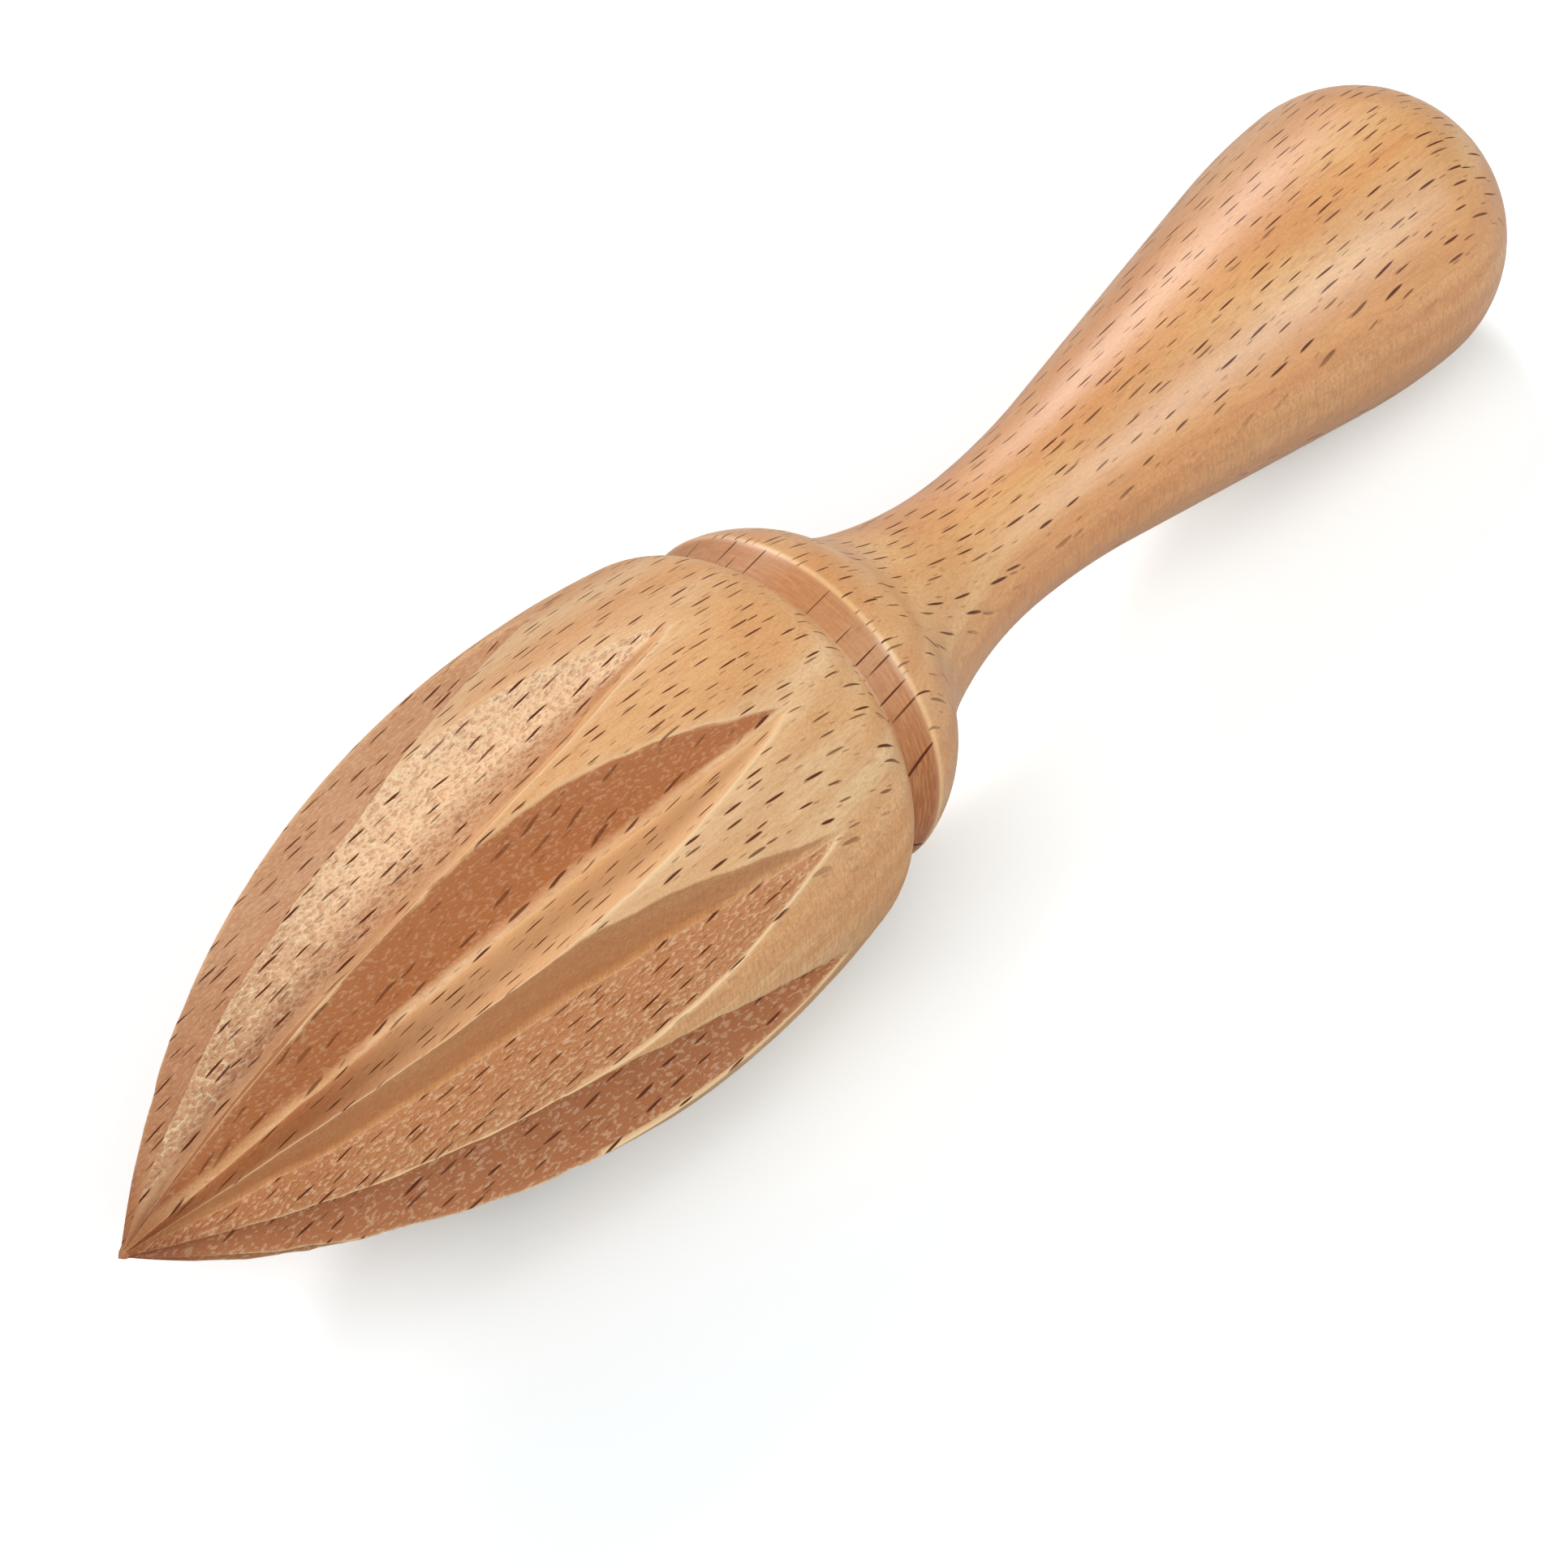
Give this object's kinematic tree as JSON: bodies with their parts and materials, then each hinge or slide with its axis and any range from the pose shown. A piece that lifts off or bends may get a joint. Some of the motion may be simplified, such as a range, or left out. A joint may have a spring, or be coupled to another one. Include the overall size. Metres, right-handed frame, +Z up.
{
  "type": "citrus reamer",
  "caption": "Hand-held wooden citrus reamer: a pointed, fluted head, a grooved collar and a slim neck swelling to a rounded handle.",
  "frame": {"origin": "on the table under the middle of the bounding box, with the reamer lying at rest on its side", "axes": "+Z up; the turning axis lies in the XZ plane, the tip towards -X and the handle's rounded end towards +X, about four degrees nearer the table at the handle"},
  "size_m": [0.1696, 0.04, 0.04],
  "materials": {
    "beech": "sanded, lightly oiled beech, satin on the handle and matt in the flutes"
  },
  "bodies": {
    "root": {"reamer": "beech"}
  },
  "joints": []
}
